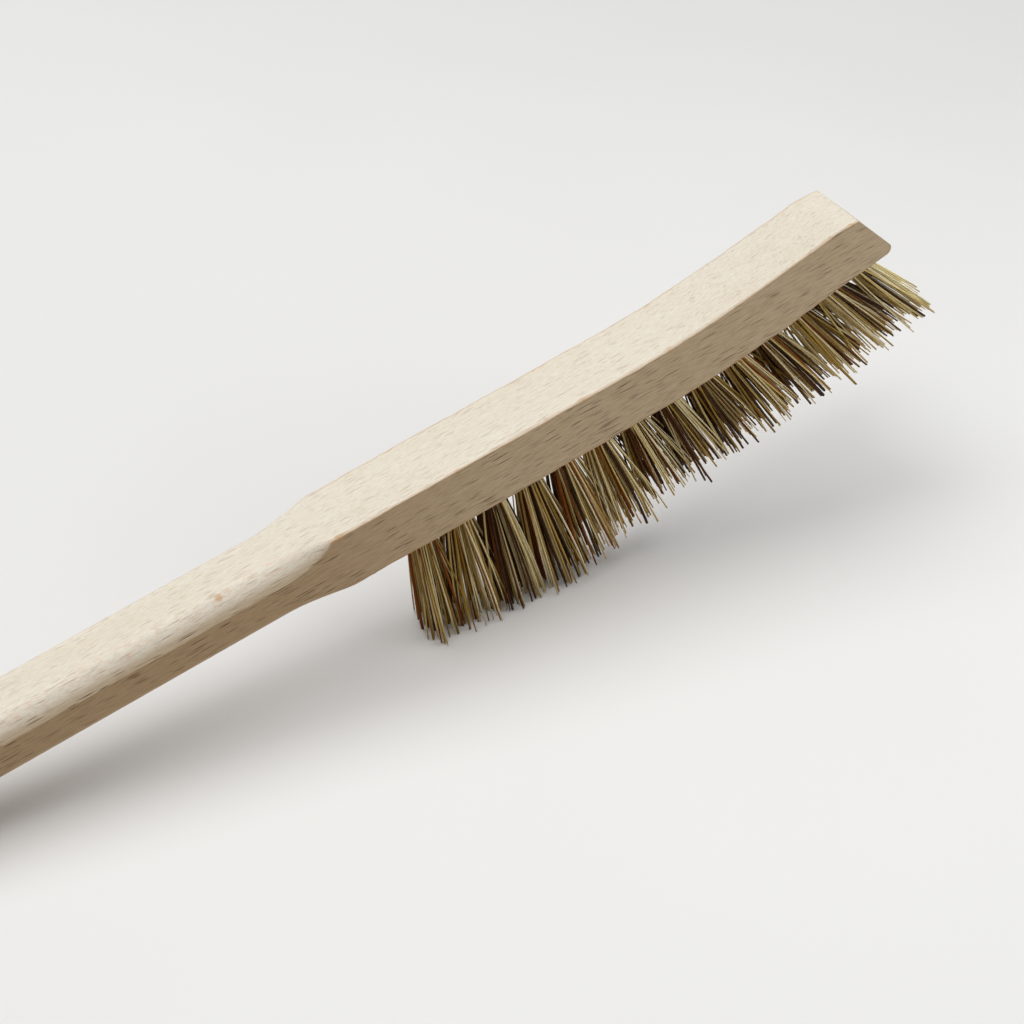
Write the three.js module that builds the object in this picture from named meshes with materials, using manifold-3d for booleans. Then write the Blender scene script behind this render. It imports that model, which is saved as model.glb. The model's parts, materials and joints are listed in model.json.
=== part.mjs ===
// Corner brush: a beech stick with a square head, filled with one row of plant-fibre tufts.
// Each tuft sits in a blind hole, folded round a flat wire anchor that bites into the wood.
// Millimetres, toe along +X, up along +Z. The brush is built level and then tipped back
// onto its heel tufts, with the origin under the middle of its footprint.

import * as THREE from 'three';
import { mergeVertices } from 'three/addons/utils/BufferGeometryUtils.js';
import Module from 'manifold-3d';

const wasm = await Module();
wasm.setup();

const { degToRad } = THREE.MathUtils;

// Stock, measured along its underside
const handleLength = 86;
const shoulderLength = 18;
const headLength = 137;
const headWidth = 15;
const headThickness = 15;
const headEdgeRadius = 0.5;
const handleWidth = 15;
const handleThickness = 15;
const handleEdgeRadius = 5.6;
const handleEndRadius = 5;

// Toe: the head runs straight, sweeps up on an arc, runs straight again and ends in a raked cut
const sweepRadius = 275;
const sweepAngle = degToRad(9.5);
const toeLength = 26.4;
const toeRake = degToRad(26.6);
const toeEndRadius = 1.4;

// Tufts, in one row along the underside, evenly spaced between its two ends
const tuftSpacing = 8.4;
const heelMargin = 15.5;
const toeMargin = 9.1;
const holeDiameter = 5;
const holeDepth = 9.5;
const heelLean = degToRad(-6);
const toeLean = degToRad(37);

// Fibres
const strandsPerTuft = 30;
const strandSides = 3;
const strandWidth = 0.62;
const strandTipWidth = 0.5;
const heelFibreLength = 35;
const bellyFibreLength = 40;
const frontFibreLength = 30;
const toeFibreLength = 32.8;
const bellyTuft = 3;
const frontTuft = 6;
const raggedLength = 0.5;
const tuftTipWidth = 12.7;
const tipGap = 1.08;
const fibreSeed = 7;

// Slices of the underside that the fibres are rooted in
const sliceMargin = 1.5;
const sliceDepth = 1.6;
const bankNames = ['heel_bristles', 'rear_bristles', 'front_bristles', 'toe_bristles'];

// Anchors: how far each end bites into the wood, and the fold of fibre behind it
const anchorBite = 1;
const anchorHeight = 2.4;
const anchorThickness = 0.6;
const foldDepth = 1.9;

// Fit and rest
const clearance = 0.3;
const restTilt = degToRad(11.5);
const standTrim = 2;

// Mesh fineness
const cornerSteps = 4;
const shoulderSteps = 8;
const sweepSteps = 8;
const endSteps = 4;
const holeSides = 12;
const cutOvershoot = 1;
const weldDistance = 1e-4;
const leastFlat = 0.4;

const headStart = handleLength + shoulderLength;
const stockLength = headStart + headLength;
const sweepTo = stockLength - toeLength;
const sweepFrom = sweepTo - sweepRadius * sweepAngle;
const rowLength = headLength - heelMargin - toeMargin;
const tuftCount = Math.round(rowLength / tuftSpacing) + 1;
const tuftPitch = rowLength / (tuftCount - 1);
const holeRadius = holeDiameter / 2;
const plugRadius = holeRadius - clearance;
const rootReach = holeRadius - strandWidth / 2;
const shortestFibre = Math.min(heelFibreLength, bellyFibreLength, frontFibreLength, toeFibreLength);
const tipPitch = tuftPitch + shortestFibre * (toeLean - heelLean) / (tuftCount - 1);
const rowFlare = (tipPitch - tipGap) / 2 / rootReach;
const sideFlare = tuftTipWidth / 2 / rootReach;
const sliceWidth = holeDiameter + 2 * sliceMargin;
const anchorLength = holeDiameter + 2 * anchorBite;
const anchorDepth = holeDepth - foldDepth - anchorHeight / 2;

const beech = { color: 0xdcc4a2, roughness: 0.72, metalness: 0 };
const plantFibre = { color: 0x8d7a4e, roughness: 0.8, metalness: 0 };
const flatWire = { color: 0xb9b6ae, roughness: 0.35, metalness: 1 };

// Underside line: its point, and its slope, at a distance s from the handle end.
function underside(s) {
  if (s <= sweepFrom) {
    return { x: s, z: 0, slope: 0 };
  }
  const slope = (Math.min(s, sweepTo) - sweepFrom) / sweepRadius;
  const past = Math.max(0, s - sweepTo);
  return {
    x: sweepFrom + sweepRadius * Math.sin(slope) + past * Math.cos(slope),
    z: sweepRadius * (1 - Math.cos(slope)) + past * Math.sin(slope),
    slope,
  };
}

// Point at a height above the underside, and a distance y from the middle plane.
function stockPoint(s, y, height) {
  const { x, z, slope } = underside(s);
  return new THREE.Vector3(x - height * Math.sin(slope), y, z + height * Math.cos(slope));
}

// Closed body through rings of equal point counts, capped at both ends.
function loft(rings) {
  const count = rings[0].length;
  const positions = rings.flat().flatMap((point) => point.toArray());
  const index = [];
  for (let ring = 0; ring + 1 < rings.length; ring += 1) {
    for (let i = 0; i < count; i += 1) {
      const a = ring * count + i;
      const b = ring * count + (i + 1) % count;
      index.push(a, b, b + count, a, b + count, a + count);
    }
  }
  const last = (rings.length - 1) * count;
  for (let i = 1; i + 1 < count; i += 1) {
    index.push(0, i + 1, i, last, last + i, last + i + 1);
  }
  const geometry = new THREE.BufferGeometry();
  geometry.setAttribute('position', new THREE.Float32BufferAttribute(positions, 3));
  geometry.setIndex(index);
  return geometry;
}

function toSolid(geometry) {
  const bare = geometry.clone();
  bare.deleteAttribute('normal');
  bare.deleteAttribute('uv');
  const merged = mergeVertices(bare, weldDistance);
  return new wasm.Manifold(new wasm.Mesh({
    numProp: 3,
    vertProperties: new Float32Array(merged.attributes.position.array),
    triVerts: new Uint32Array(merged.index.array),
  }));
}

function toMesh(name, solid, finish) {
  const { vertProperties, triVerts } = solid.getMesh();
  const geometry = new THREE.BufferGeometry();
  geometry.setAttribute('position', new THREE.BufferAttribute(vertProperties, 3));
  geometry.setIndex(new THREE.BufferAttribute(triVerts, 1));
  geometry.computeVertexNormals();
  return namedMesh(name, geometry, finish);
}

function namedMesh(name, geometry, finish) {
  const mesh = new THREE.Mesh(geometry, new THREE.MeshStandardMaterial({ ...finish, flatShading: true }));
  mesh.name = name;
  return mesh;
}

// Rounded rectangle across the stock. Rake leans the ring so that its top falls back from its foot.
function sectionRing(s, width, thickness, edgeRadius, inset = 0, rake = 0) {
  const roundest = (Math.min(width, thickness) - leastFlat) / 2 - inset;
  const radius = Math.min(Math.max(edgeRadius - inset, headEdgeRadius / 2), roundest);
  const halfSpan = width / 2 - inset - radius;
  const low = inset + radius;
  const high = thickness - inset - radius;
  const corners = [[halfSpan, high], [-halfSpan, high], [-halfSpan, low], [halfSpan, low]];
  return corners.flatMap(([y, height], corner) => {
    const points = [];
    for (let step = 0; step <= cornerSteps; step += 1) {
      const angle = (corner + step / cornerSteps) * Math.PI / 2;
      const pointHeight = height + radius * Math.sin(angle);
      const setBack = pointHeight * Math.tan(rake);
      points.push(stockPoint(s - setBack, y + radius * Math.cos(angle), pointHeight));
    }
    return points;
  });
}

// Handle, shoulder, straight head, swept head and raked toe, from end to end.
function stockBlank() {
  const rings = [];
  for (let step = 0; step <= endSteps; step += 1) {
    const angle = step / endSteps * Math.PI / 2;
    const inset = handleEndRadius * (1 - Math.sin(angle));
    const s = handleEndRadius * (1 - Math.cos(angle));
    rings.push(sectionRing(s, handleWidth, handleThickness, handleEdgeRadius, inset));
  }
  for (let step = 0; step <= shoulderSteps; step += 1) {
    const share = step / shoulderSteps;
    const ease = THREE.MathUtils.smoothstep(share, 0, 1);
    rings.push(sectionRing(
      handleLength + share * shoulderLength,
      THREE.MathUtils.lerp(handleWidth, headWidth, ease),
      THREE.MathUtils.lerp(handleThickness, headThickness, ease),
      THREE.MathUtils.lerp(handleEdgeRadius, headEdgeRadius, ease),
    ));
  }
  for (let step = 0; step <= sweepSteps; step += 1) {
    const s = THREE.MathUtils.lerp(sweepFrom, sweepTo, step / sweepSteps);
    rings.push(sectionRing(s, headWidth, headThickness, headEdgeRadius));
  }
  for (let step = 0; step <= endSteps; step += 1) {
    const angle = step / endSteps * Math.PI / 2;
    const inset = toeEndRadius * (1 - Math.cos(angle));
    const s = stockLength - toeEndRadius * (1 - Math.sin(angle));
    rings.push(sectionRing(s, headWidth, headThickness, headEdgeRadius, inset, toeRake));
  }
  return toSolid(loft(rings));
}

// Rectangular strip that follows the underside, from its face up to a height inside the wood.
function undersideStrip(from, to, width, low, high) {
  const steps = Math.ceil((to - from) / (sweepRadius * sweepAngle / sweepSteps));
  const rings = [];
  for (let step = 0; step <= steps; step += 1) {
    const s = THREE.MathUtils.lerp(from, to, step / steps);
    rings.push([
      stockPoint(s, width / 2, low),
      stockPoint(s, width / 2, high),
      stockPoint(s, -width / 2, high),
      stockPoint(s, -width / 2, low),
    ]);
  }
  return toSolid(loft(rings));
}

// Fibres grow from the heel to the belly, are trimmed shorter up to the front tuft and grow again to the toe.
function fibreLength(i) {
  if (i <= bellyTuft) {
    return THREE.MathUtils.lerp(heelFibreLength, bellyFibreLength, i / bellyTuft);
  }
  if (i <= frontTuft) {
    const past = (i - bellyTuft) / (frontTuft - bellyTuft);
    return THREE.MathUtils.lerp(bellyFibreLength, frontFibreLength, past);
  }
  const past = (i - frontTuft) / (tuftCount - 1 - frontTuft);
  return THREE.MathUtils.lerp(frontFibreLength, toeFibreLength, past);
}

// Where each tuft stands, how it leans, how far it dips from square to the wood and how long its fibres are.
const tufts = Array.from({ length: tuftCount }, (_, i) => {
  const s = headStart + heelMargin + i * tuftPitch;
  const root = stockPoint(s, 0, 0);
  const lean = THREE.MathUtils.lerp(heelLean, toeLean, i / (tuftCount - 1));
  const dip = lean - underside(s).slope;
  const frame = new THREE.Matrix4().makeRotationY(-lean).setPosition(root);
  return { s, root, lean, dip, frame, fibre: fibreLength(i) };
});

// Round body on a tuft's axis, between two heights above the underside.
function tuftCylinder(tuft, radius, low, high) {
  const geometry = new THREE.CylinderGeometry(radius, radius, high - low, holeSides);
  geometry.rotateX(Math.PI / 2);
  geometry.translate(0, 0, (low + high) / 2);
  return toSolid(geometry.applyMatrix4(tuft.frame));
}

// Room that an anchor takes, grown by a gap on every side.
function anchorBlock(tuft, gap) {
  const geometry = new THREE.BoxGeometry(
    anchorThickness + 2 * gap,
    anchorLength + 2 * gap,
    anchorHeight + 2 * gap,
  );
  geometry.translate(0, 0, anchorDepth);
  return toSolid(geometry.applyMatrix4(tuft.frame));
}

function makeStock() {
  const rowFrom = tufts[0].s - tuftPitch / 2 - clearance;
  const rowTo = tufts[tuftCount - 1].s + tuftPitch / 2 + clearance;
  const pocketWidth = sliceWidth + 2 * clearance;
  let solid = stockBlank();
  solid = solid.subtract(undersideStrip(rowFrom, rowTo, pocketWidth, -cutOvershoot, sliceDepth + clearance));
  for (const tuft of tufts) {
    solid = solid.subtract(tuftCylinder(tuft, holeRadius, 0, holeDepth));
    solid = solid.subtract(anchorBlock(tuft, clearance));
  }
  return toMesh('stock', solid, beech);
}

// Repeatable numbers from 0 to 1, by a linear congruential step.
function makeRandom(seed) {
  const multiplier = 1664525;
  const increment = 1013904223;
  const modulus = 2 ** 32;
  let state = seed;
  return () => {
    state = (state * multiplier + increment) % modulus;
    return state / modulus;
  };
}

const random = makeRandom(fibreSeed);
const goldenAngle = Math.PI * (3 - Math.sqrt(5));

// Height of a point once the brush is tipped back.
function levelOf(point) {
  return point.x * Math.sin(restTilt) + point.z * Math.cos(restTilt);
}

// The brush stands on the tufts that reach lowest, trimmed level.
const tipLevels = tufts.map(({ root, lean, fibre }) => levelOf(root) - fibre * Math.cos(lean + restTilt));
const standLevel = Math.min(...tipLevels) + standTrim;

// One three-sided fibre of a tuft, in the order of a sunflower's seeds, trimmed where it stands.
function strand(tuft, number) {
  const reach = rootReach * Math.sqrt((number + 0.5) / strandsPerTuft);
  const bearing = number * goldenAngle;
  const across = [reach * Math.cos(bearing), reach * Math.sin(bearing)];
  const length = tuft.fibre + raggedLength * (2 * random() - 1);
  const turn = random() * 2 * Math.PI;
  const foot = new THREE.Vector3(across[0], across[1], 0);
  const tip = new THREE.Vector3(across[0] * rowFlare, across[1] * sideFlare, -length);
  const run = tip.clone().sub(foot).divideScalar(length);
  const heightOf = (point) => point.x * Math.sin(tuft.dip) + point.z * Math.cos(tuft.dip);
  const start = foot.clone().addScaledVector(run, (sliceDepth / 2 - heightOf(foot)) / heightOf(run));
  const ringAt = (centre, width) => Array.from({ length: strandSides }, (_, side) => {
    const angle = turn + side * 2 * Math.PI / strandSides;
    const radius = width / 2 / Math.sin(Math.PI / strandSides);
    const offset = new THREE.Vector3(radius * Math.cos(angle), radius * Math.sin(angle), 0);
    return offset.add(centre).applyMatrix4(tuft.frame);
  });
  const outward = run.clone().transformDirection(tuft.frame);
  const fall = -levelOf(outward);
  const tipRing = ringAt(tip, strandTipWidth).map((point) => {
    const below = Math.max(0, standLevel - levelOf(point));
    return point.addScaledVector(outward, -below / fall);
  });
  return loft([tipRing, ringAt(start, strandWidth)]);
}

// Fibres of some neighbouring tufts, rooted in one slice of the underside, with their folded ends.
function makeBank(name, group) {
  const from = group[0].s - (tuftPitch - clearance) / 2;
  const to = group[group.length - 1].s + (tuftPitch - clearance) / 2;
  let solid = undersideStrip(from, to, sliceWidth, 0, sliceDepth);
  for (const tuft of group) {
    const rimDrop = plugRadius * Math.sin(Math.abs(tuft.dip));
    const plugLow = (sliceDepth / 2 + rimDrop) / Math.cos(tuft.dip);
    solid = solid.add(tuftCylinder(tuft, plugRadius, plugLow, holeDepth - clearance));
    solid = solid.subtract(anchorBlock(tuft, clearance));
  }
  for (const tuft of group) {
    for (let number = 0; number < strandsPerTuft; number += 1) {
      solid = solid.add(toSolid(strand(tuft, number)));
    }
  }
  return toMesh(name, solid, plantFibre);
}

function makeAnchor(tuft, number) {
  const geometry = new THREE.BoxGeometry(anchorThickness, anchorLength, anchorHeight);
  const mesh = namedMesh(`anchor_${String(number + 1).padStart(2, '0')}`, geometry, flatWire);
  mesh.position.set(0, 0, anchorDepth).applyMatrix4(tuft.frame);
  mesh.rotation.y = -tuft.lean;
  return mesh;
}

const brush = new THREE.Group();
brush.add(makeStock());
bankNames.forEach((name, bank) => {
  const from = Math.floor(bank * tuftCount / bankNames.length);
  const to = Math.floor((bank + 1) * tuftCount / bankNames.length);
  brush.add(makeBank(name, tufts.slice(from, to)));
});
tufts.forEach((tuft, number) => brush.add(makeAnchor(tuft, number)));

// Tip the toe up until the trimmed heel tufts stand level, then centre the footprint.
brush.rotation.y = -restTilt;
const part = new THREE.Group();
part.add(brush);
part.updateMatrixWorld(true);
const box = new THREE.Box3().setFromObject(part, true);
brush.position.set(-(box.min.x + box.max.x) / 2, -(box.min.y + box.max.y) / 2, -box.min.z);

export default part;
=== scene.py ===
import json
import math
import random

import bmesh
import bpy
from mathutils import Matrix, Quaternion, Vector, noise


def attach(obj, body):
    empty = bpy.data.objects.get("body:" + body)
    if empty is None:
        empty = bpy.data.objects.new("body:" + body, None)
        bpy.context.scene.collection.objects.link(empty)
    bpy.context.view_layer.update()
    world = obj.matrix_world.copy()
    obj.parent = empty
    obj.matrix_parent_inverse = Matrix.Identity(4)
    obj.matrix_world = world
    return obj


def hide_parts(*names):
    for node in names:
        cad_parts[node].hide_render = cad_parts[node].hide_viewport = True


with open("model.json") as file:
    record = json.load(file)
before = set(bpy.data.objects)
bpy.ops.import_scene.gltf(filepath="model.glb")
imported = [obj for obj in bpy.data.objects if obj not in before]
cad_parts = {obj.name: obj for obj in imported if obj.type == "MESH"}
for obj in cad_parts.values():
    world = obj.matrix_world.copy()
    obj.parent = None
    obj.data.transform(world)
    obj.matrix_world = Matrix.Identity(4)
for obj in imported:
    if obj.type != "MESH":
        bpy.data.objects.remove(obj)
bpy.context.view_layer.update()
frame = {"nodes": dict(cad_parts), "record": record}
mm = 0.001
print("frame loaded:", len(frame["nodes"]), "nodes")

# The stick is modelled level, in millimetres from its handle end, and then laid on the frame.
stick = {
    "handle": 86.0,
    "shoulder": 18.0,
    "head": 137.0,
    "width": 15.0,
    "thickness": 15.0,
    "headEdge": 0.40,          # arris left by the plane
    "leastEdge": 0.12,
    # How uneven that arris is: depth, waves per millimetre, and the part of the noise that each edge reads.
    "slowWave": {"depth": 0.55, "rate": 0.11, "row": 7.3, "layer": 0.5},
    "quickWave": {"depth": 0.20, "rate": 0.7, "row": 3.1, "layer": 4.5},
    # The handle's edges, from the far top one round to the far low one: what each takes off the top or
    # underside and off the side, how far it pulls in before it meets the side, and how its cut runs out.
    "edges": (
        {"flat": 4.2, "side": 4.5, "pull": 1.7, "runOut": 18.5, "hold": 2, "fade": 2},
        {"flat": 4.2, "side": 4.6, "pull": 1.7, "runOut": 14.3, "hold": 2.5, "fade": 1},
        {"flat": 3.8, "side": 4.1, "pull": 1.5, "runOut": 18.5, "hold": 2, "fade": 2},
        {"flat": 3.8, "side": 4.1, "pull": 1.5, "runOut": 18.5, "hold": 2, "fade": 2},
    ),
    "handleEnd": 5.0,
    "endEdge": 0.3,            # least edge kept where that end turns in
    "sweepRadius": 275.0,
    "sweepTurn": math.radians(9.5),
    "toeStraight": 26.4,
    "toeRake": math.radians(26.6),
    "toeFoot": 1.5,            # rounding under the toe
    "toeEdge": 0.4,
    "toeRim": 5.0,             # its rim is eased from this far below the middle of the toe's face
    "toeSwell": 0.5,           # the top swells on the sweep and is sanded down at the toe
    "browLength": 7.5,
    "browDrop": 1.15,
    "browSkew": 0.35,          # sanded lower at the far corner
    "chips": {
        "count": 46,
        "toeClear": 1.0,
        "reach": (0.8, 2.6),
        "depth": (0.1, 0.5),
        "shallow": 1.3,        # over 1, shallower than that
        "seed": 21,
    },
    "splinter": {"edge": 1, "s": 101.4, "reach": 3.4, "depth": 0.45},   # torn arris at the shoulder
    "burnish": {"full": 0.3, "fade": 1.6, "arris": 0.50, "chip": 1.6},   # by the width of an edge
    "backMount": 130.0,        # where the frame's head_back point sits
    "cornerSteps": 8,
    "flatSteps": 8,
    "flatHem": 0.012,          # share of a flat face kept beside its edges
    "pace": 0.9,               # between rings
    "endSteps": 10,
    "crispFrom": math.radians(16),
}
stickLength = stick["handle"] + stick["shoulder"] + stick["head"]
sweepTo = stickLength - stick["toeStraight"]
sweepFrom = sweepTo - stick["sweepRadius"] * stick["sweepTurn"]

backMount = next(m for m in frame["record"]["mounts"] if m["name"] == "head_back")
backAxis = Vector(backMount["axis"])
restTilt = math.atan2(-backAxis.x, backAxis.z)
lay = (
    Matrix.Translation(backMount["pos_m"])
    @ Matrix.Rotation(-restTilt, 4, "Y")
    @ Matrix.Scale(mm, 4)
    @ Matrix.Translation((-stick["backMount"], 0, -stick["thickness"]))
)
layPlace = lay.to_translation()


# Small helpers

def addNode(tree, kind, inputs=None, **settings):
    node = tree.nodes.new(kind)
    for key, value in settings.items():
        setattr(node, key, value)
    for socket, value in (inputs or {}).items():
        if isinstance(value, bpy.types.NodeSocket):
            tree.links.new(value, node.inputs[socket])
        else:
            node.inputs[socket].default_value = value
    return node


def newMaterial(name):
    material = bpy.data.materials.new(name)
    material.use_nodes = True
    tree = material.node_tree
    return material, tree, tree.nodes["Principled BSDF"]


def mathNode(tree, operation, a, b=0.0):
    return addNode(tree, "ShaderNodeMath", {0: a, 1: b}, operation=operation).outputs[0]


def mixColour(tree, share, a, b):
    return addNode(tree, "ShaderNodeMix", {0: share, 6: a, 7: b}, data_type="RGBA").outputs[2]


def rampNode(tree, value, stops, smooth=False):
    ramp = addNode(tree, "ShaderNodeValToRGB", {0: value})
    if smooth:
        ramp.color_ramp.interpolation = "EASE"
    elements = ramp.color_ramp.elements
    while len(elements) < len(stops):
        elements.new(0.5)
    for element, (place, colour) in zip(elements, stops):
        element.position = place
        element.color = colour
    return ramp.outputs[0]


def srgb(red, green, blue):
    def linear(value):
        share = value / 255
        return share / 12.92 if share <= 0.04045 else ((share + 0.055) / 1.055) ** 2.4
    return (linear(red), linear(green), linear(blue), 1)


def grey(level):
    return (level, level, level, 1)


def makePiece(name, bm, material, slot, *replaced):
    mesh = bpy.data.meshes.new(name)
    bm.to_mesh(mesh)
    bm.free()
    piece = bpy.data.objects.new(name, mesh)
    bpy.context.scene.collection.objects.link(piece)
    mesh.materials.append(material)
    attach(piece, "root")
    if replaced:
        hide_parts(*replaced)
    return piece


# Camera, at the photograph's viewpoint

cameraSet = {
    "place": (49.9, -250.2, 274.7),   # level millimetres
    "aim": (137.3, -9.5, -2.05),
    "roll": math.radians(-0.27),
    "lens": 63.28,
}


def makeCamera():
    data = bpy.data.cameras.new("camera")
    data.lens = cameraSet["lens"]
    data.sensor_width = 36
    data.clip_start = 0.01
    camera = bpy.data.objects.new("camera", data)
    bpy.context.scene.collection.objects.link(camera)
    place = lay @ Vector(cameraSet["place"])
    view = lay @ Vector(cameraSet["aim"]) - place
    camera.location = place
    camera.rotation_mode = "QUATERNION"
    camera.rotation_quaternion = view.to_track_quat("-Z", "Y") @ Quaternion((0, 0, 1), cameraSet["roll"])
    bpy.context.scene.camera = camera


makeCamera()
print("camera set")


# Beech stick

def undersideAt(s):
    if s <= sweepFrom:
        return s, 0.0, 0.0
    slope = (min(s, sweepTo) - sweepFrom) / stick["sweepRadius"]
    past = max(0.0, s - sweepTo)
    x = sweepFrom + stick["sweepRadius"] * math.sin(slope) + past * math.cos(slope)
    z = stick["sweepRadius"] * (1 - math.cos(slope)) + past * math.sin(slope)
    return x, z, slope


def stickPoint(s, y, height):
    x, z, slope = undersideAt(s)
    return Vector((x - height * math.sin(slope), y, z + height * math.cos(slope)))


def browShare(s):
    toeTop = stickLength - stick["thickness"] * math.tan(stick["toeRake"])
    return max(0.0, 1 - (toeTop - s) / stick["browLength"]) ** 2


def topHeight(s):
    swell = min(1.0, max(0.0, (s - sweepFrom) / (sweepTo - sweepFrom)))
    rise = stick["toeSwell"] * swell * swell * (3 - 2 * swell)
    return stick["thickness"] + rise - stick["browDrop"] * browShare(s)


def makeChips():
    nicks = stick["chips"]
    dice = random.Random(nicks["seed"])
    chips = [stick["splinter"]]
    for _ in range(nicks["count"]):
        chips.append({
            "edge": dice.randrange(4),
            "s": dice.uniform(stick["handle"] + stick["shoulder"], stickLength - nicks["toeClear"]),
            "reach": dice.uniform(*nicks["reach"]),
            "depth": dice.uniform(*nicks["depth"]) ** nicks["shallow"],
        })
    return chips


def chipDepth(s, edge, chips):
    depth = 0.0
    for chip in chips:
        if chip["edge"] == edge:
            near = max(0.0, 1 - abs(s - chip["s"]) / chip["reach"])
            depth += chip["depth"] * near * near
    return depth


def arrisWave(s, edge, wave):
    return wave["depth"] * noise.noise(Vector((s * wave["rate"], edge * wave["row"], wave["layer"])))


# What an edge takes off the flat and off the side at s, and how far it pulls in.
def edgeCut(s, edge, chips):
    sharp = stick["headEdge"] + arrisWave(s, edge, stick["slowWave"]) + arrisWave(s, edge, stick["quickWave"])
    sharp = max(stick["leastEdge"], sharp + chipDepth(s, edge, chips))
    cut = stick["edges"][edge]
    share = min(1.0, max(0.0, (s - stick["handle"]) / cut["runOut"]))
    left = (1 - share ** cut["hold"]) ** cut["fade"]
    return max(sharp, cut["flat"] * left), max(sharp, cut["side"] * left), cut["pull"] * left


# Outline point k of a section. Its edges go round: far top, near top, near low, far low.
def outlinePoint(k, halfWidth, low, high, cuts):
    perEdge = stick["cornerSteps"] + stick["flatSteps"]
    edge, step = divmod(k, perEdge)

    def arc(which, share):
        flat, side, pull = cuts[which]
        toSide = share if which in (1, 3) else 1 - share
        inward = flat * (1 - toSide) ** 2 + 2 * pull * toSide * (1 - toSide)
        sunk = side * toSide * toSide
        y = (halfWidth - inward) * (1 if which in (0, 3) else -1)
        return y, high - sunk if which in (0, 1) else low + sunk

    if step <= stick["cornerSteps"]:
        return arc(edge, step / stick["cornerSteps"])
    share = (step - stick["cornerSteps"] - 1) / (stick["flatSteps"] - 2)
    share = min(max(share, stick["flatHem"]), 1 - stick["flatHem"])
    start, end = arc(edge, 1), arc((edge + 1) % 4, 0)
    return tuple(a + (b - a) * share for a, b in zip(start, end))


# Rings from the handle end to the toe: where each stands and how far its end has turned in.
def ringList():
    rings = []
    for step in range(stick["endSteps"] + 1):
        turn = step / stick["endSteps"] * math.pi / 2
        rings.append({
            "s": stick["handleEnd"] * (1 - math.cos(turn)),
            "inset": stick["handleEnd"] * (1 - math.sin(turn)),
            "lift": 0.0,
            "rake": 0.0,
        })
    footReach = stick["toeFoot"] * (math.tan(stick["toeRake"]) + 1 / math.cos(stick["toeRake"]))
    bodyFrom, bodyTo = stick["handleEnd"], stickLength - footReach
    steps = round((bodyTo - bodyFrom) / stick["pace"])
    for step in range(1, steps + 1):
        s = bodyFrom + (bodyTo - bodyFrom) * step / steps
        rake = max(0.0, (s - sweepTo) / (stickLength - sweepTo))
        rings.append({"s": s, "inset": 0.0, "lift": 0.0, "rake": rake})
    lastRake = rings[-1]["rake"]
    footTurn = math.pi / 2 + stick["toeRake"]
    for step in range(1, stick["endSteps"] + 1):
        share = step / stick["endSteps"]
        turn = share * footTurn
        rings.append({
            "s": bodyTo + stick["toeFoot"] * math.sin(turn),
            "inset": 0.0,
            "lift": stick["toeFoot"] * (1 - math.cos(turn)),
            "rake": lastRake + (1 - lastRake) * share,
        })
    return rings


def shapeStick():
    chips = makeChips()
    rings = ringList()
    count = 4 * (stick["cornerSteps"] + stick["flatSteps"])
    bm = bmesh.new()
    ringIndex = bm.verts.layers.int.new("ringIndex")
    wear = bm.verts.layers.float.new("wear")
    made = bmesh.ops.create_circle(bm, cap_ends=True, segments=count, radius=1)
    bmesh.ops.rotate(bm, verts=made["verts"], matrix=Matrix.Rotation(math.pi / 2, 3, "Y"))
    for k, vert in enumerate(made["verts"]):
        vert[ringIndex] = k
    bmesh.ops.spin(
        bm, geom=bm.verts[:] + bm.edges[:] + bm.faces[:], axis=(0, 0, 1), cent=(0, 0, 0),
        dvec=(1, 0, 0), angle=0, steps=len(rings) - 1,
    )
    halfWidth, thickness, burnish = stick["width"] / 2, stick["thickness"], stick["burnish"]
    outline = {}
    for vert in bm.verts:
        number = round(vert.co.x)
        ring = rings[number]
        if number not in outline:
            cuts = [edgeCut(ring["s"], edge, chips) for edge in range(4)]
            inset, least = ring["inset"], stick["endEdge"]
            outline[number] = [
                (max(flat - inset, least), max(side - inset, least), max(pull - inset, 0))
                for flat, side, pull in cuts
            ]
        cuts = outline[number]
        lean = math.tan(stick["toeRake"]) * ring["rake"]
        topPlace = ring["s"] - (thickness - ring["lift"]) * lean
        y, height = outlinePoint(
            vert[ringIndex], halfWidth - ring["inset"], ring["lift"] + ring["inset"],
            topHeight(topPlace) - ring["inset"], cuts,
        )
        height -= stick["browSkew"] * browShare(topPlace) * y / halfWidth * height / thickness
        vert.co = stickPoint(ring["s"] - (height - ring["lift"]) * lean, y, height)
        edge, step = divmod(vert[ringIndex], stick["cornerSteps"] + stick["flatSteps"])
        if step <= stick["cornerSteps"]:
            worn = max(0.0, 1 - (cuts[edge][0] - burnish["full"]) / burnish["fade"])
            chipped = chipDepth(ring["s"], edge, chips)
            vert[wear] = min(1.0, burnish["arris"] * worn + burnish["chip"] * chipped)
    bmesh.ops.recalc_face_normals(bm, faces=bm.faces)
    toeFace = max((f for f in bm.faces if len(f.verts) == count), key=lambda f: f.calc_center_median().x)
    rimFrom = toeFace.calc_center_median().z - stick["toeRim"]
    topRim = [e for e in toeFace.edges if max(v.co.z for v in e.verts) > rimFrom]
    bmesh.ops.bevel(
        bm, geom=topRim, offset=stick["toeEdge"], offset_type="OFFSET", segments=3, profile=0.5,
        affect="EDGES", material=-1, clamp_overlap=True,
    )
    return bm


# Tufts

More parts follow.
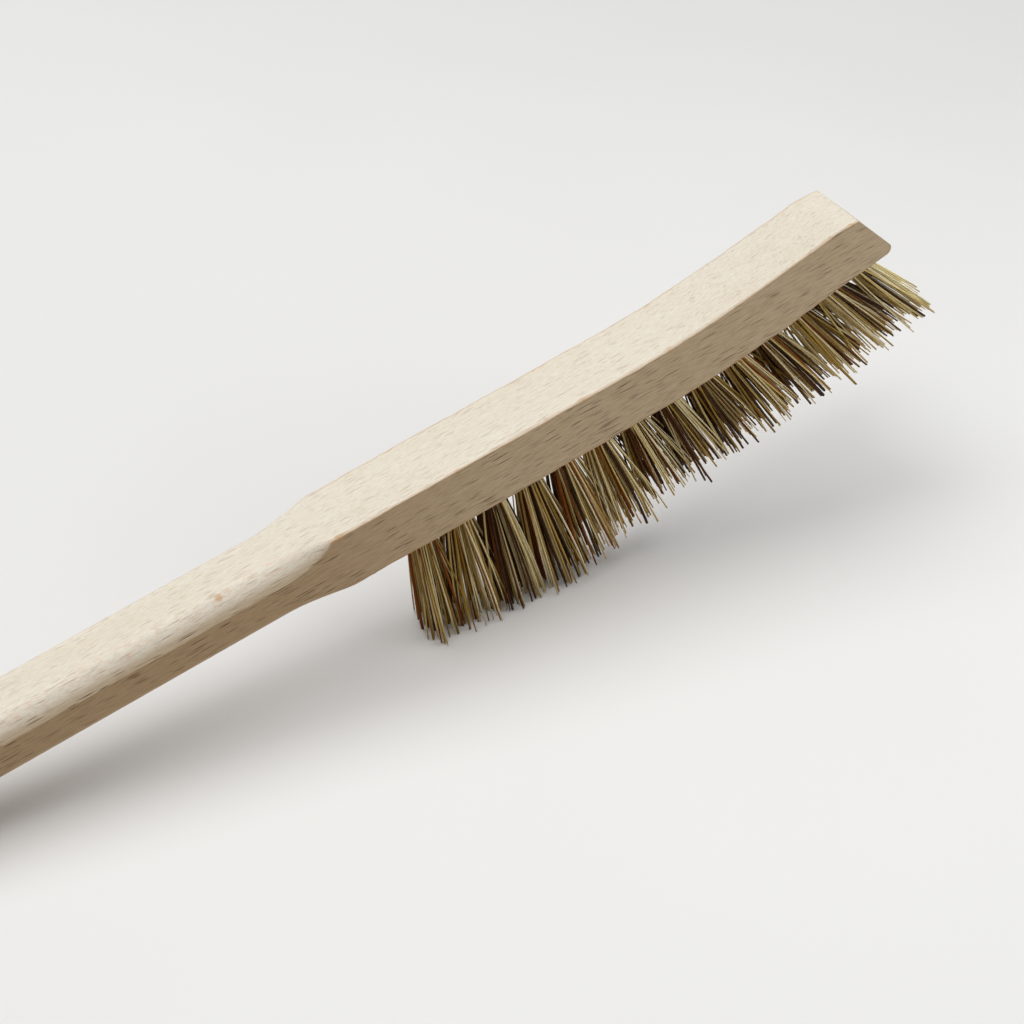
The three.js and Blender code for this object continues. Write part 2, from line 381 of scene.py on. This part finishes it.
tuftRow = {
    "first": 119.5,
    "toeMargin": 9.1,
    "count": 14,
    "hole": 5.0,
    "holeDepth": 9.5,
    "holeSides": 28,
    "holeClear": 0.05,         # between the fibres and the hole
    "drillPast": 4.0,          # how far the drill stands out of the wood
    "heelLean": math.radians(-6),
    "toeLean": math.radians(37),
    "heelFibre": 35.0,
    "bellyFibre": 39.2,        # from here on a little short, as stray tips reach further
    "frontFibre": 28.5,
    "toeFibre": 31.6,
    "belly": 3,                # the longest tuft, counted from 0
    "front": 6,                # the shortest
    "fibres": 110,
    "rooted": 4.5,             # depth of the fibres' start in the hole
    "rootShare": 0.12,         # of a fibre, inside the hole
    "rootDraw": 0.92,          # the start lies a little nearer the middle
    "bearingSway": 0.3,
    "heelFlare": 3.3,          # spread of the tips along the row, in foot spreads
    "toeFlare": 2.15,
    "outerFlare": 0.9,         # on the outer sides of the first and last tufts
    "sideFlare": 2.6,
    "sideReach": 8.3,          # no tip strays further across
    "spread": 1.3,             # over 1, the fibres part sooner below the wood
    "splay": {"core": 0.6, "loose": 1.3, "stray": 2.0},
    "lots": {"core": 0.5, "loose": 0.38, "stray": 0.12},
    "ragged": 0.8,
    "long": {"share": 0.05, "by": (0.5, 1.5)},
    "bend": {"by": 0.8, "middle": 1.6, "tip": 0.35},
    "taper": (0.72, 0.96),
    "flatness": (0.6, 1.0),
    "thin": 1.5,               # over 1, more stalks near the thin end of their kind
    "sides": 5,
    "joints": 6,
    "toeToneLit": {"pale": 4.0, "straw": 2.0, "olive": 0.5, "rust": 0.1, "dark": 0.3},   # in the last tuft: more pale stalks, partly its own mix and partly painted light shining through the toe's thin stalks
    # More or fewer dark stalks, tuft by tuft, partly the tufts' own mix and partly painted shade, most on the
    # third and fourth tufts, and fewer rusty ones past the front tuft.
    "darkTuftsAndShade": {0: 0.8, 1: 0.9, 2: 3.2, 3: 3.2, 4: 0.55, 5: 0.55, 7: 2.6, 8: 2.6, 11: 0.6, 12: 0.6},
    "frontRust": 0.4,
    "gather": {"least": 0.1, "most": 3.4, "power": 3, "sway": 0.4},   # of dark stalks, to one side
    "floorGap": 0.25,
    "floorTrim": 0.5,
    "seed": 5,
}

stalkKinds = {
    "pale": {"share": 0.26, "tone": (0.88, 1.00), "width": (0.37, 0.58)},
    "straw": {"share": 0.26, "tone": (0.68, 0.88), "width": (0.38, 0.64)},
    "olive": {"share": 0.16, "tone": (0.38, 0.58), "width": (0.40, 0.68)},
    "rust": {"share": 0.06, "tone": (0.20, 0.30), "width": (0.46, 0.85)},
    "dark": {"share": 0.26, "tone": (0.00, 0.14), "width": (0.46, 0.88)},
}


def tuftList():
    row = tuftRow
    pitch = (stickLength - row["toeMargin"] - row["first"]) / (row["count"] - 1)
    tufts = []
    for i in range(row["count"]):
        s = row["first"] + i * pitch
        share = i / (row["count"] - 1)
        lean = row["heelLean"] + (row["toeLean"] - row["heelLean"]) * share
        if i <= row["belly"]:
            fibre = row["heelFibre"] + (row["bellyFibre"] - row["heelFibre"]) * i / row["belly"]
        elif i <= row["front"]:
            past = (i - row["belly"]) / (row["front"] - row["belly"])
            fibre = row["bellyFibre"] + (row["frontFibre"] - row["bellyFibre"]) * past
        else:
            past = (i - row["front"]) / (row["count"] - 1 - row["front"])
            fibre = row["frontFibre"] + (row["toeFibre"] - row["frontFibre"]) * past
        seat = Matrix.Translation(stickPoint(s, 0, 0)) @ Matrix.Rotation(-lean, 4, "Y")
        flare = row["heelFlare"] + (row["toeFlare"] - row["heelFlare"]) * share
        tufts.append({
            "seat": seat,
            "fibre": fibre,
            "backFlare": row["outerFlare"] if i == 0 else flare,
            "frontFlare": row["outerFlare"] if i == row["count"] - 1 else flare,
            "tone": row["toeToneLit"] if i == row["count"] - 1 else {
                "dark": row["darkTuftsAndShade"].get(i, 1.0),
                "rust": row["frontRust"] if i > row["front"] else 1.0,
            },
        })
    return tufts


tufts = tuftList()


def drillHoles(piece):
    bm = bmesh.new()
    depth = tuftRow["holeDepth"] + tuftRow["drillPast"]
    for tuft in tufts:
        bmesh.ops.create_cone(
            bm, cap_ends=True, segments=tuftRow["holeSides"], depth=depth,
            radius1=tuftRow["hole"] / 2, radius2=tuftRow["hole"] / 2,
            matrix=tuft["seat"] @ Matrix.Translation((0, 0, tuftRow["holeDepth"] - depth / 2)),
        )
    bmesh.ops.transform(bm, matrix=lay, verts=bm.verts)
    drills = bpy.data.meshes.new("drills")
    bm.to_mesh(drills)
    bm.free()
    cutter = bpy.data.objects.new("drills", drills)
    bpy.context.scene.collection.objects.link(cutter)
    cut = piece.modifiers.new("holes", "BOOLEAN")
    cut.operation = "DIFFERENCE"
    cut.solver = "EXACT"
    cut.object = cutter
    graph = bpy.context.evaluated_depsgraph_get()
    drilled = bpy.data.meshes.new_from_object(piece.evaluated_get(graph))
    piece.modifiers.clear()
    bare = piece.data
    piece.data = drilled
    bpy.data.meshes.remove(bare)
    bpy.data.objects.remove(cutter)
    bpy.data.meshes.remove(drills)


beech = {
    "pale": srgb(240, 234, 221),
    "mid": srgb(236, 227, 210),
    "tan": srgb(226, 212, 190),
    "sideShade": srgb(211, 194, 159),        # painted shade: the sawn sides darker and warmer, as they stand in shade
    "handleShade": srgb(186, 156, 116),      # painted shade, deeper on the handle's sides as the light falls off there
    "handleShadeTo": 53.0,                   # how far past the handle it fades out
    "sideFleck": srgb(90, 52, 22),
    "topFleck": srgb(158, 130, 98),
    "fineLine": srgb(158, 132, 98),
    "hair": srgb(198, 178, 150),
    "crownLight": srgb(250, 243, 230),        # painted light on the handle's upward-facing round edges
    "rosy": srgb(226, 194, 164),
    "burnt": srgb(192, 142, 82),
    "knotTone": srgb(212, 164, 112),
    "knot": (75.0, -5.0, 14.2),          # pin knot on the handle, level millimetres
    "knotSize": 1.15,
    "grainTurn": math.radians(1.5),
    "endTone": srgb(210, 186, 152),
    "endRing": srgb(188, 158, 120),      # growth rings in the end grain
    # How much of a tone is mixed in at most.
    "shares": {
        "streaks": 0.65, "crownLight": 0.45, "sideShade": 0.6, "handleShade": 0.5,
        "fineLine": 0.5, "topFleck": 0.65, "sideFleck": 0.86,
    },
    # Sizes of the patterns along, across and through the stick, in millimetres.
    "sizes": {
        "bands": (90, 4.5, 3.2),
        "streaks": (3.6, 0.28, 0.28),
        "threads": (1.4, 0.2, 0.2),
        "mottles": (1.7, 0.7, 0.7),
        "fine": (7.0, 0.36, 0.36),
        "longRays": (10.5, 9, 0.44),
        "shortRays": (6.5, 7, 0.4),
        "topRays": (7.5, 0.4, 9),
        "pores": (0.35, 0.35, 0.35),
        "rings": (200, 14, 1.5),
    },
    # A fleck's dark core, where it has faded, and the share of flecks left out.
    "flecks": {
        "fine": {"core": 0.10, "fade": 0.26, "leftOut": 0.1},
        "longRays": {"core": 0.13, "fade": 0.29, "leftOut": 0.30},
        "shortRays": {"core": 0.12, "fade": 0.29, "leftOut": 0.28},
        "topRays": {"core": 0.10, "fade": 0.24, "leftOut": 0.25},
    },
    "fleckRise": 0.55,                   # from the first fleck shown to the first at full strength
    "relief": {"streaks": 0.5, "threads": 0.6, "sideRays": 0.5, "fine": 0.3},
}


def beechMaterial():
    material, tree, shader = newMaterial("beech")
    shares, relief = beech["shares"], beech["relief"]
    coords = addNode(tree, "ShaderNodeTexCoord")
    level = addNode(tree, "ShaderNodeMapping", {
        "Vector": coords.outputs["Object"], "Location": layPlace, "Rotation": (0, -restTilt, 0),
        "Scale": (mm, mm, mm),
    }, vector_type="TEXTURE").outputs[0]
    along = addNode(tree, "ShaderNodeSeparateXYZ", {0: level}).outputs[0]

    def times(a, b):
        return mathNode(tree, "MULTIPLY", a, b)

    # Full on the handle, and gone at some reach past it.
    def fadeOut(reach, full):
        return addNode(tree, "ShaderNodeMapRange", {
            "Value": along, "From Min": stick["handle"], "From Max": stick["handle"] + reach,
            "To Min": full, "To Max": 0.0,
        }).outputs[0]

    def grain(pattern):
        long, across, high = beech["sizes"][pattern]
        return addNode(tree, "ShaderNodeMapping", {
            "Vector": level, "Scale": (1 / long, 1 / across, 1 / high),
            "Rotation": (0, beech["grainTurn"], 0),
        }).outputs[0]

    def cloudy(pattern, detail, rough=0.55):
        return addNode(tree, "ShaderNodeTexNoise", {
            "Vector": grain(pattern), "Scale": 1.0, "Detail": detail, "Roughness": rough,
        }).outputs[0]

    # Short dark lines along the grain, of which the lower picks are left out.
    def dashes(pattern):
        fleck = beech["flecks"][pattern]
        fullFrom = fleck["leftOut"] + beech["fleckRise"]
        cells = addNode(tree, "ShaderNodeTexVoronoi", {
            "Vector": grain(pattern), "Scale": 1.0, "Randomness": 1.0,
        }).outputs
        pick = addNode(tree, "ShaderNodeSeparateColor", {0: cells["Color"]}).outputs[0]
        line = rampNode(tree, cells["Distance"], [(fleck["core"], grey(1)), (fleck["fade"], grey(0))], True)
        return times(line, rampNode(tree, pick, [(fleck["leftOut"], grey(0)), (fullFrom, grey(1))]))

    # Which way the wood faces: the crown is the upper part of the handle's round edges.
    facing = addNode(tree, "ShaderNodeSeparateXYZ", {0: coords.outputs["Normal"]}).outputs
    sideways = mathNode(tree, "ABSOLUTE", facing[1])
    side = rampNode(tree, sideways, [(0.85, grey(0)), (0.97, grey(1))], True)
    notSide = mathNode(tree, "SUBTRACT", 1.0, side)
    rayZone = rampNode(tree, sideways, [(0.74, grey(0)), (0.93, grey(1))], True)
    crown = rampNode(tree, sideways, [
        (0.08, grey(0)), (0.3, grey(1)), (0.8, grey(1)), (0.93, grey(0)),
    ], True)
    crown = times(crown, rampNode(tree, facing[2], [(0.0, grey(0)), (0.3, grey(1))]))
    crown = times(crown, fadeOut(stick["shoulder"], 1.0))
    toeFace = rampNode(tree, facing[0], [(0.5, grey(0)), (0.64, grey(1))])
    handleFace = rampNode(tree, times(facing[0], -1.0), [(0.45, grey(0)), (0.97, grey(1))])
    endFace = mathNode(tree, "MAXIMUM", toeFace, handleFace)

    # Bands and streaks, with painted light on the handle's upper round edges and painted shade on the sides.
    bands = cloudy("bands", 2.0)
    streaks = cloudy("streaks", 4.0, 0.68)
    threads = cloudy("threads", 3.0, 0.62)
    wood = rampNode(tree, bands, [(0.2, beech["tan"]), (0.5, beech["mid"]), (0.8, beech["pale"])])
    streakTone = rampNode(tree, streaks, [(0.32, beech["tan"]), (0.5, beech["mid"]), (0.68, beech["pale"])])
    wood = mixColour(tree, shares["streaks"], wood, streakTone)
    # Painted light: the upward-facing round edges of the handle are whitened.
    wood = mixColour(tree, times(crown, shares["crownLight"]), wood, beech["crownLight"])
    # Painted shade: the sides are darkened and warmed as if they stood in shade.
    wood = mixColour(tree, times(side, shares["sideShade"]), wood, beech["sideShade"])
    # Painted shade: the handle's sides darker still, fading out past the handle.
    handleShadeShare = times(side, fadeOut(beech["handleShadeTo"], shares["handleShade"]))
    wood = mixColour(tree, handleShadeShare, wood, beech["handleShade"])

    # Fine open grain all over, deeper on the sides.
    hairs = rampNode(tree, threads, [(0.34, grey(0.36)), (0.54, grey(0.0))])
    wood = mixColour(tree, hairs, wood, beech["hair"])
    sawn = times(rampNode(tree, streaks, [(0.3, grey(0.42)), (0.58, grey(0.0))]), side)
    wood = mixColour(tree, sawn, wood, beech["fineLine"])

    # Rosy mottles where the round edges cut through the rays.
    mottles = rampNode(tree, cloudy("mottles", 2.0), [(0.5, grey(0)), (0.7, grey(0.55))])
    wood = mixColour(tree, times(mottles, crown), wood, beech["rosy"])

    # Rays and vessels: dark dashes on the sides, fainter and finer ones on the top.
    fine = dashes("fine")
    topRays = times(dashes("topRays"), notSide)
    sideRays = times(mathNode(tree, "MAXIMUM", dashes("longRays"), dashes("shortRays")), rayZone)
    wood = mixColour(tree, times(fine, shares["fineLine"]), wood, beech["fineLine"])
    wood = mixColour(tree, times(topRays, shares["topFleck"]), wood, beech["topFleck"])
    wood = mixColour(tree, times(sideRays, shares["sideFleck"]), wood, beech["sideFleck"])

    # End grain, pin knot and burnished edges.
    pores = rampNode(tree, cloudy("pores", 2.0), [(0.36, grey(0.85)), (0.62, grey(0.35))])
    rings = rampNode(tree, cloudy("rings", 1.5), [(0.4, beech["endRing"]), (0.58, beech["endTone"])])
    wood = mixColour(tree, times(endFace, pores), wood, rings)
    fromKnot = addNode(tree, "ShaderNodeVectorMath", {0: level, 1: beech["knot"]}, operation="DISTANCE")
    knotShare = mathNode(tree, "DIVIDE", fromKnot.outputs["Value"], beech["knotSize"])
    inKnot = rampNode(tree, knotShare, [(0.3, grey(0.6)), (1.0, grey(0))], True)
    wood = mixColour(tree, inKnot, wood, beech["knotTone"])
    worn = addNode(tree, "ShaderNodeAttribute", attribute_name="wear").outputs["Fac"]
    burnish = times(worn, rampNode(tree, streaks, [(0.35, grey(0.3)), (0.65, grey(0.9))]))
    wood = mixColour(tree, burnish, wood, beech["burnt"])
    tree.links.new(wood, shader.inputs["Base Color"])

    # Satin finish, with raised streaks and sunk rays.
    tree.links.new(rampNode(tree, streaks, [(0.3, grey(0.74)), (0.7, grey(0.6))]), shader.inputs["Roughness"])
    shader.inputs["Specular IOR Level"].default_value = 0.3
    raised = mathNode(tree, "ADD", times(streaks, relief["streaks"]), times(threads, relief["threads"]))
    sunk = mathNode(tree, "ADD", times(sideRays, relief["sideRays"]), times(fine, relief["fine"]))
    bump = addNode(tree, "ShaderNodeBump", {
        "Strength": 0.8, "Distance": 0.00018, "Height": mathNode(tree, "SUBTRACT", raised, sunk),
    })
    tree.links.new(bump.outputs[0], shader.inputs["Normal"])
    return material


def makeStick():
    bm = shapeStick()
    bmesh.ops.transform(bm, matrix=lay, verts=bm.verts)
    piece = makePiece("stick", bm, beechMaterial(), "beech", "stock")
    drillHoles(piece)
    for polygon in piece.data.polygons:
        polygon.use_smooth = True
    piece.data.set_sharp_from_angle(angle=stick["crispFrom"])
    print("stick:", len(piece.data.polygons), "faces")


makeStick()


plantFibre = {
    "tones": [
        (0.00, srgb(44, 24, 11)),
        (0.14, srgb(84, 48, 19)),
        (0.20, srgb(106, 54, 22)),
        (0.30, srgb(160, 92, 38)),
        (0.38, srgb(148, 117, 52)),
        (0.60, srgb(199, 172, 94)),
        (0.72, srgb(231, 213, 146)),
        (1.00, srgb(253, 248, 217)),
    ],
    "stain": srgb(140, 112, 66),
    "shade": srgb(52, 36, 18),           # at the wood, where the stalks stand close
}


def fibreMaterial():
    material, tree, shader = newMaterial("plantFibre")
    tone = addNode(tree, "ShaderNodeAttribute", attribute_name="tone").outputs["Fac"]
    along = addNode(tree, "ShaderNodeAttribute", attribute_name="along").outputs["Fac"]
    place = addNode(tree, "ShaderNodeTexCoord").outputs["Object"]
    stalk = rampNode(tree, tone, plantFibre["tones"])
    mottle = addNode(tree, "ShaderNodeTexNoise", {
        "Vector": place, "Scale": 420.0, "Detail": 3.0, "Roughness": 0.6,
    }).outputs[0]
    stained = rampNode(tree, mottle, [(0.5, grey(0.0)), (0.8, grey(0.25))])
    stalk = mixColour(tree, stained, stalk, plantFibre["stain"])
    shaded = rampNode(tree, along, [(0.05, grey(0.65)), (0.28, grey(0.0))])
    stalk = mixColour(tree, shaded, stalk, plantFibre["shade"])
    tree.links.new(stalk, shader.inputs["Base Color"])
    tree.links.new(rampNode(tree, mottle, [(0.3, grey(0.5)), (0.7, grey(0.68))]), shader.inputs["Roughness"])
    shader.inputs["Specular IOR Level"].default_value = 0.14
    bump = addNode(tree, "ShaderNodeBump", {"Strength": 0.3, "Distance": 0.0001, "Height": mottle})
    tree.links.new(bump.outputs[0], shader.inputs["Normal"])
    return material


# One straight stalk, of unit length and radius, that every fibre is bent from.
def stalkMesh():
    bm = bmesh.new()
    bmesh.ops.create_cone(bm, cap_ends=True, segments=tuftRow["sides"], radius1=1, radius2=1, depth=1)
    lengthwise = [e for e in bm.edges if abs(e.verts[0].co.z - e.verts[1].co.z) > 0.5]
    bmesh.ops.subdivide_edges(bm, edges=lengthwise, cuts=tuftRow["joints"] - 1)
    mesh = bpy.data.meshes.new("stalk")
    bm.to_mesh(mesh)
    bm.free()
    return mesh


# Dark stalks lie together towards one neighbour of each tuft.
def pickKind(bearing, reach, darkSide, tone, dice):
    gather = tuftRow["gather"]
    together = 0.5 + 0.5 * math.cos(bearing - darkSide) * reach / (tuftRow["hole"] / 2)
    darkPull = gather["least"] + gather["most"] * together ** gather["power"]
    weights = []
    for name, kind in stalkKinds.items():
        pull = darkPull if name == "dark" else 1.0
        weights.append(kind["share"] * pull * tone.get(name, 1.0))
    return dice.choices(list(stalkKinds.values()), weights)[0]


def addFibre(bm, stalk, tuft, number, darkSide, dice, layers):
    row = tuftRow
    rootShare, rootDraw, bend = row["rootShare"], row["rootDraw"], row["bend"]
    goldenTurn = math.pi * (3 - math.sqrt(5))
    reach = (row["hole"] / 2 - row["holeClear"]) * math.sqrt((number + 0.5) / row["fibres"])
    bearing = number * goldenTurn + dice.uniform(-row["bearingSway"], row["bearingSway"])
    foot = Vector((reach * math.cos(bearing), reach * math.sin(bearing), 0))
    splay = row["splay"][dice.choices(list(row["lots"]), list(row["lots"].values()))[0]]
    length = tuft["fibre"] + dice.gauss(0, row["ragged"])
    if dice.random() < row["long"]["share"]:
        length += dice.uniform(*row["long"]["by"])
    flare = tuft["frontFlare"] if foot.x > 0 else tuft["backFlare"]
    stray = min(flare / row["toeFlare"], 1.0) * splay
    across = foot.y * row["sideFlare"] + dice.gauss(0, splay)
    across = max(-row["sideReach"], min(row["sideReach"], across))
    tip = Vector((foot.x * flare + dice.gauss(0, stray), across, -length))
    start = Vector((foot.x * rootDraw, foot.y * rootDraw, row["rooted"]))
    bow = Vector((dice.gauss(0, bend["by"]), dice.gauss(0, bend["by"]), 0))
    kind = pickKind(bearing, reach, darkSide, tuft["tone"], dice)
    thin, stout = kind["width"]
    thick = (thin + (stout - thin) * dice.random() ** row["thin"]) / 2
    flat = dice.uniform(*row["flatness"])
    twist = dice.uniform(0, math.pi)
    taper = dice.uniform(*row["taper"])
    tone = dice.uniform(*kind["tone"])

    def spine(share):
        if share < rootShare:
            return start.lerp(foot, share / rootShare)
        t = (share - rootShare) / (1 - rootShare)
        apart = foot.lerp(tip, 1 - (1 - t) ** row["spread"])
        bowed = bow * (t * (1 - t) * bend["middle"] + bend["tip"] * t * t)
        return Vector((apart.x, apart.y, tip.z * t)) + bowed

    toFrame = lay @ tuft["seat"]
    tipHeight = (toFrame @ spine(1.0)).z / mm
    footHeight = (toFrame @ foot).z / mm
    end = 1.0
    if tipHeight < row["floorGap"]:
        free = footHeight - row["floorGap"] - dice.uniform(0, row["floorTrim"])
        end = rootShare + (1 - rootShare) * free / (footHeight - tipHeight)
    before = len(bm.verts)
    bm.from_mesh(stalk)
    bm.verts.ensure_lookup_table()
    side = Vector((math.cos(twist), math.sin(twist), 0))
    other = Vector((-math.sin(twist), math.cos(twist), 0))
    for vert in bm.verts[before:]:
        share = (0.5 - vert.co.z) * end
        radius = thick * (1 - (1 - taper) * share)
        vert[layers["tone"]] = tone
        vert[layers["along"]] = share
        vert.co = toFrame @ (spine(share) + side * (vert.co.x * radius) + other * (vert.co.y * radius * flat))


def makeTufts():
    material = fibreMaterial()
    stalk = stalkMesh()
    banks = ("heel_bristles", "rear_bristles", "front_bristles", "toe_bristles")
    for number, tuft in enumerate(tufts):
        dice = random.Random(tuftRow["seed"] * 100 + number)
        bm = bmesh.new()
        layers = {"tone": bm.verts.layers.float.new("tone"), "along": bm.verts.layers.float.new("along")}
        darkSide = dice.choice((0, math.pi)) + dice.gauss(0, tuftRow["gather"]["sway"])
        if number in (0, len(tufts) - 1):   # away from the row's two ends
            darkSide = math.pi if number else 0
        for fibre in range(tuftRow["fibres"]):
            addFibre(bm, stalk, tuft, fibre, darkSide, dice, layers)
        bmesh.ops.recalc_face_normals(bm, faces=bm.faces)
        for face in bm.faces:
            face.smooth = len(face.verts) == 4
        bank = next(bank for b, bank in enumerate(banks, 1) if number < b * len(tufts) // len(banks))
        makePiece(f"tuft_{number + 1:02d}", bm, material, "plant_fibre", bank)
    bpy.data.meshes.remove(stalk)
    print("tufts:", len(tufts), "of", tuftRow["fibres"], "fibres")


makeTufts()


# Anchors keep the frame's shape.
flatWire = {
    "dull": srgb(168, 166, 160),
    "bright": srgb(205, 203, 198),
    "drawn": (9000, 300, 9000),          # lines run along the wire
}


def wireMaterial():
    material, tree, shader = newMaterial("flatWire")
    place = addNode(tree, "ShaderNodeTexCoord").outputs["Object"]
    drawn = addNode(tree, "ShaderNodeMapping", {"Vector": place, "Scale": flatWire["drawn"]}).outputs[0]
    lines = addNode(tree, "ShaderNodeTexNoise", {"Vector": drawn, "Scale": 1.0, "Detail": 2.0}).outputs[0]
    tone = rampNode(tree, lines, [(0.3, flatWire["dull"]), (0.7, flatWire["bright"])])
    tree.links.new(tone, shader.inputs["Base Color"])
    tree.links.new(rampNode(tree, lines, [(0.3, grey(0.28)), (0.7, grey(0.44))]), shader.inputs["Roughness"])
    shader.inputs["Metallic"].default_value = 1.0
    return material


wire = wireMaterial()
for name, node in frame["nodes"].items():
    if name.startswith("anchor_"):
        node.data.materials.clear()
        node.data.materials.append(wire)
print("anchors dressed")


# Floor, lights and world

studio = {
    "floor": 2.4,
    "floorTone": srgb(239, 238, 236),
    "floorDim": 0.97,                    # in its darker specks
    "floorBounce": srgb(156, 126, 84),   # what the floor gives back to the brush
    "keyPlace": (-0.28, 0.15, 1.3),
    "keySize": 1.5,
    "keyPower": 17.8,
    "fillPlace": (0.4, -0.27, 0.21),
    "fillSize": 0.4,
    "fillPower": 0.26,
    "fillSpread": math.radians(100),
    "lampAim": (0, 0, 0.04),
    "skyTone": (0.95, 0.98, 1.0, 1),
    "skyLight": 0.17,
    "skyShown": 0.92,
    "fadeFrom": 0.25,                    # the floor turns into sky, in metres from the middle
    "fadeTo": 0.8,
}


# 1 for what the camera sees, straight or in a reflection.
def seenRay(tree):
    ray = addNode(tree, "ShaderNodeLightPath").outputs
    seen = mathNode(tree, "MAXIMUM", ray["Is Camera Ray"], ray["Is Glossy Ray"])
    return mathNode(tree, "MAXIMUM", seen, ray["Is Transmission Ray"])


def makeFloor():
    material, tree, shader = newMaterial("floorPaint")
    place = addNode(tree, "ShaderNodeTexCoord").outputs["Object"]
    speck = addNode(tree, "ShaderNodeTexNoise", {"Vector": place, "Scale": 6.0, "Detail": 2.0}).outputs[0]
    tone = studio["floorTone"]
    dim = (*(c * studio["floorDim"] for c in tone[:3]), 1)
    pale = rampNode(tree, speck, [(0.3, dim), (0.7, tone)])
    tree.links.new(mixColour(tree, seenRay(tree), studio["floorBounce"], pale), shader.inputs["Base Color"])
    shader.inputs["Roughness"].default_value = 0.9
    away = addNode(tree, "ShaderNodeVectorMath", {0: place}, operation="LENGTH").outputs["Value"]
    fade = addNode(tree, "ShaderNodeMapRange", {
        "Value": away, "From Min": studio["fadeFrom"], "From Max": studio["fadeTo"],
    }, interpolation_type="SMOOTHSTEP").outputs[0]
    glow = addNode(tree, "ShaderNodeEmission", {"Color": studio["skyTone"], "Strength": studio["skyShown"]})
    ground = addNode(tree, "ShaderNodeMixShader", {
        0: mathNode(tree, "MULTIPLY", fade, seenRay(tree)), 1: shader.outputs[0], 2: glow.outputs[0],
    })
    tree.links.new(ground.outputs[0], tree.nodes["Material Output"].inputs["Surface"])
    bm = bmesh.new()
    bmesh.ops.create_grid(bm, x_segments=2, y_segments=2, size=studio["floor"])
    mesh = bpy.data.meshes.new("floor")
    bm.to_mesh(mesh)
    bm.free()
    mesh.materials.append(material)
    floor = bpy.data.objects.new("floor", mesh)
    bpy.context.scene.collection.objects.link(floor)


def makeLamp(name, place, size, power, spread=math.pi):
    data = bpy.data.lights.new(name, "AREA")
    data.shape = "DISK"
    data.size = size
    data.energy = power
    data.spread = spread
    lamp = bpy.data.objects.new(name, data)
    lamp.location = place
    lamp.rotation_mode = "QUATERNION"
    lamp.rotation_quaternion = (Vector(studio["lampAim"]) - Vector(place)).to_track_quat("-Z", "Y")
    bpy.context.scene.collection.objects.link(lamp)


# The sky lights softly, and looks pale to the camera and in reflections.
def makeSky():
    world = bpy.data.worlds.new("sky")
    world.use_nodes = True
    tree = world.node_tree
    sky = tree.nodes["Background"]
    sky.inputs["Color"].default_value = studio["skyTone"]
    level = addNode(tree, "ShaderNodeMapRange", {
        "Value": seenRay(tree), "To Min": studio["skyLight"], "To Max": studio["skyShown"],
    }).outputs[0]
    tree.links.new(level, sky.inputs["Strength"])
    bpy.context.scene.world = world


makeFloor()
makeLamp("keyLamp", studio["keyPlace"], studio["keySize"], studio["keyPower"])
makeLamp("fillLamp", studio["fillPlace"], studio["fillSize"], studio["fillPower"], studio["fillSpread"])
makeSky()
bpy.context.scene.view_settings.view_transform = "Standard"
print("studio lit")
